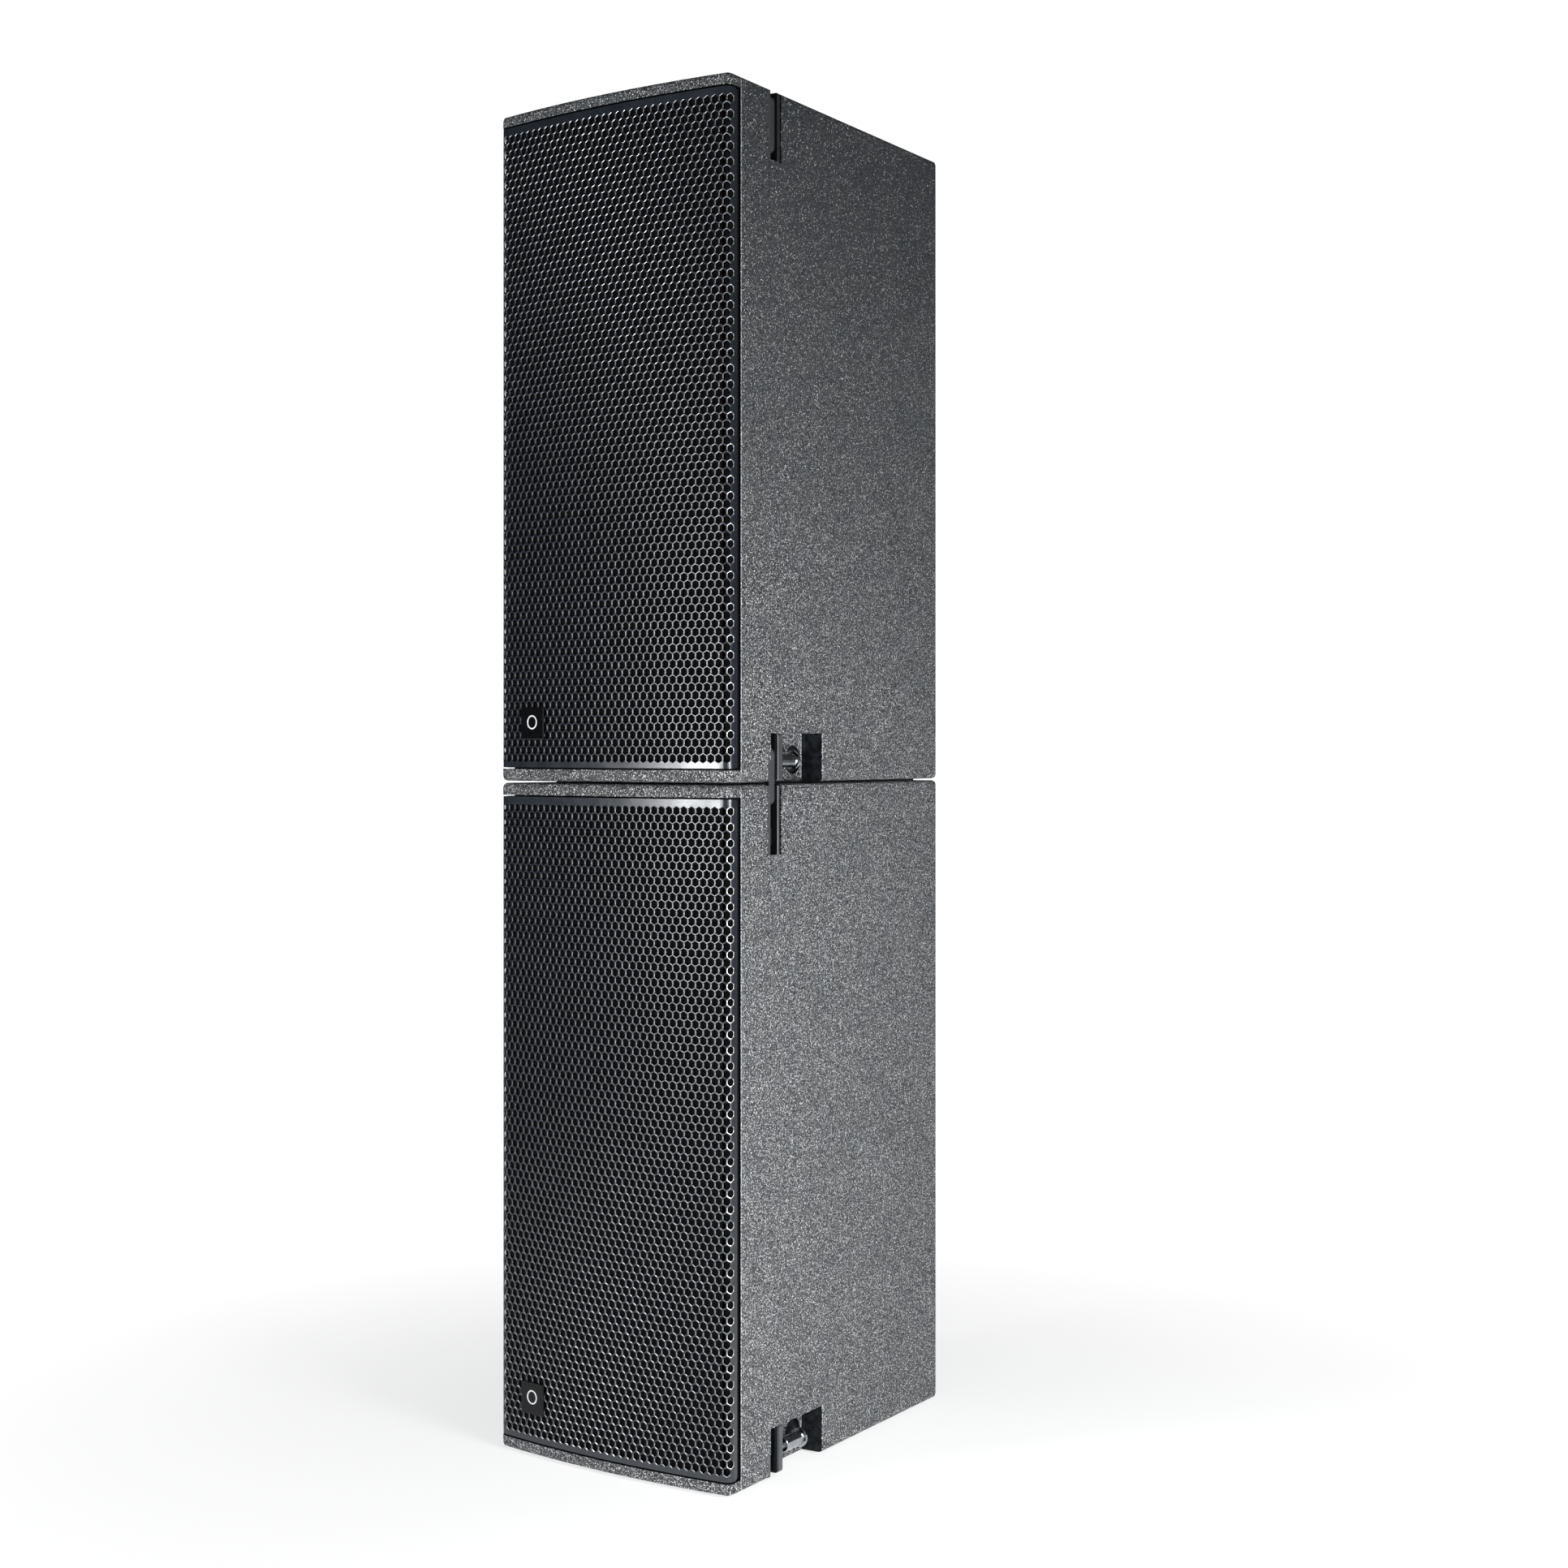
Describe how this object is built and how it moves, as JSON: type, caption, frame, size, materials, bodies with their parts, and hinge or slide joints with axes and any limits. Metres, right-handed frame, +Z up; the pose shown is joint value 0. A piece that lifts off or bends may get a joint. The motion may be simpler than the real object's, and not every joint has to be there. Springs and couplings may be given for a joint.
{
  "type": "line array loudspeaker",
  "caption": "Tall stacked line array loudspeaker with curved perforated grilles, tapered textured cabinets and side rigging with sliding link bars and lock pins.",
  "frame": {"origin": "centre of the overall box in plan, at the bottom of the lower cabinet's runner feet", "axes": "+Z up; the curved perforated front faces -Y; +X is to the viewer's right when facing the front"},
  "size_m": [0.2704, 0.3982, 1.25],
  "materials": {
    "cabinet_paint": "plywood under a coarse textured charcoal coating",
    "baffle_paint": "matte black",
    "grille_steel": "semi-gloss dark blue-grey powder coat, perforated",
    "foam": "open-cell acoustic foam, matte black",
    "badge_plastic": "gloss black",
    "basket_metal": "black cast frame",
    "cone_paper": "coated paper, matte black",
    "magnet_steel": "ferrite and plated steel",
    "horn_plastic": "moulded, satin black",
    "board_green": "circuit board with components",
    "rail_zinc": "dark zinc plate",
    "link_zinc": "dark zinc plate",
    "pin_chrome": "polished",
    "grip_rubber": "matte black",
    "foot_rubber": "matte black",
    "plate_paint": "fine-texture black",
    "socket_plastic": "dark blue-black",
    "wire_red": "sheathed cable"
  },
  "bodies": {
    "cabinets": {"lower_cabinet": "cabinet_paint", "lower_baffle": "baffle_paint", "lower_grille": "grille_steel", "lower_grille_foam": "foam", "lower_grille_frame": "baffle_paint", "lower_badge": "badge_plastic", "lower_woofer_a_basket": "basket_metal", "lower_woofer_a_magnet": "magnet_steel", "lower_woofer_b_basket": "basket_metal", "lower_woofer_b_magnet": "magnet_steel", "lower_waveguide": "horn_plastic", "lower_compression_driver": "magnet_steel", "lower_crossover_board": "board_green", "lower_rear_plate": "plate_paint", "lower_socket_input": "socket_plastic", "lower_socket_link": "socket_plastic", "lower_harness": "wire_red", "lower_foot_left": "foot_rubber", "lower_foot_right": "foot_rubber", "lower_rail_left": "rail_zinc", "lower_rail_right": "rail_zinc", "lower_link_left": "link_zinc", "lower_link_right": "link_zinc", "lower_grip_left": "grip_rubber", "lower_grip_right": "grip_rubber", "upper_cabinet": "cabinet_paint", "upper_baffle": "baffle_paint", "upper_grille": "grille_steel", "upper_grille_foam": "foam", "upper_grille_frame": "baffle_paint", "upper_badge": "badge_plastic", "upper_woofer_a_basket": "basket_metal", "upper_woofer_a_magnet": "magnet_steel", "upper_woofer_b_basket": "basket_metal", "upper_woofer_b_magnet": "magnet_steel", "upper_waveguide": "horn_plastic", "upper_compression_driver": "magnet_steel", "upper_crossover_board": "board_green", "upper_rear_plate": "plate_paint", "upper_socket_input": "socket_plastic", "upper_socket_link": "socket_plastic", "upper_harness": "wire_red", "upper_foot_left": "foot_rubber", "upper_foot_right": "foot_rubber", "upper_rail_left": "rail_zinc", "upper_rail_right": "rail_zinc"},
    "lower_cone_a": {"lower_woofer_a_cone": "cone_paper"},
    "lower_cone_b": {"lower_woofer_b_cone": "cone_paper"},
    "lower_lock_left": {"lower_pin_left": "pin_chrome"},
    "lower_lock_right": {"lower_pin_right": "pin_chrome"},
    "upper_cone_a": {"upper_woofer_a_cone": "cone_paper"},
    "upper_cone_b": {"upper_woofer_b_cone": "cone_paper"},
    "upper_lock_left": {"upper_pin_left": "pin_chrome"},
    "upper_lock_right": {"upper_pin_right": "pin_chrome"},
    "upper_bar_left": {"upper_link_left": "link_zinc", "upper_grip_left": "grip_rubber"},
    "upper_bar_right": {"upper_link_right": "link_zinc", "upper_grip_right": "grip_rubber"}
  },
  "joints": [
    {"name": "lower_lock_left_pull", "type": "slide", "parent": "cabinets", "child": "lower_lock_left", "axis": [0.0872, 0.9962, 0], "range_m": [-0.012, 0], "stiffness_N_per_m": 400},
    {"name": "lower_lock_right_pull", "type": "slide", "parent": "cabinets", "child": "lower_lock_right", "axis": [-0.0872, 0.9962, 0], "range_m": [-0.012, 0], "stiffness_N_per_m": 400},
    {"name": "upper_lock_left_pull", "type": "slide", "parent": "cabinets", "child": "upper_lock_left", "axis": [0.0872, 0.9962, 0], "range_m": [0, 0.012], "stiffness_N_per_m": 400},
    {"name": "upper_lock_right_pull", "type": "slide", "parent": "cabinets", "child": "upper_lock_right", "axis": [-0.0872, 0.9962, 0], "range_m": [0, 0.012], "stiffness_N_per_m": 400},
    {"name": "upper_bar_left_raise", "type": "slide", "parent": "cabinets", "child": "upper_bar_left", "axis": [0, 0, 1], "range_m": [0, 0.037]},
    {"name": "upper_bar_right_raise", "type": "slide", "parent": "cabinets", "child": "upper_bar_right", "axis": [0, 0, 1], "range_m": [0, 0.037]},
    {"name": "lower_cone_a_stroke", "type": "slide", "parent": "cabinets", "child": "lower_cone_a", "axis": [0, -1, 0], "range_m": [-0.005, 0.005], "stiffness_N_per_m": 2500},
    {"name": "lower_cone_b_stroke", "type": "slide", "parent": "cabinets", "child": "lower_cone_b", "axis": [0, -1, 0], "range_m": [-0.005, 0.005], "stiffness_N_per_m": 2500},
    {"name": "upper_cone_a_stroke", "type": "slide", "parent": "cabinets", "child": "upper_cone_a", "axis": [0, -1, 0], "range_m": [-0.005, 0.005], "stiffness_N_per_m": 2500},
    {"name": "upper_cone_b_stroke", "type": "slide", "parent": "cabinets", "child": "upper_cone_b", "axis": [0, -1, 0], "range_m": [-0.005, 0.005], "stiffness_N_per_m": 2500}
  ]
}
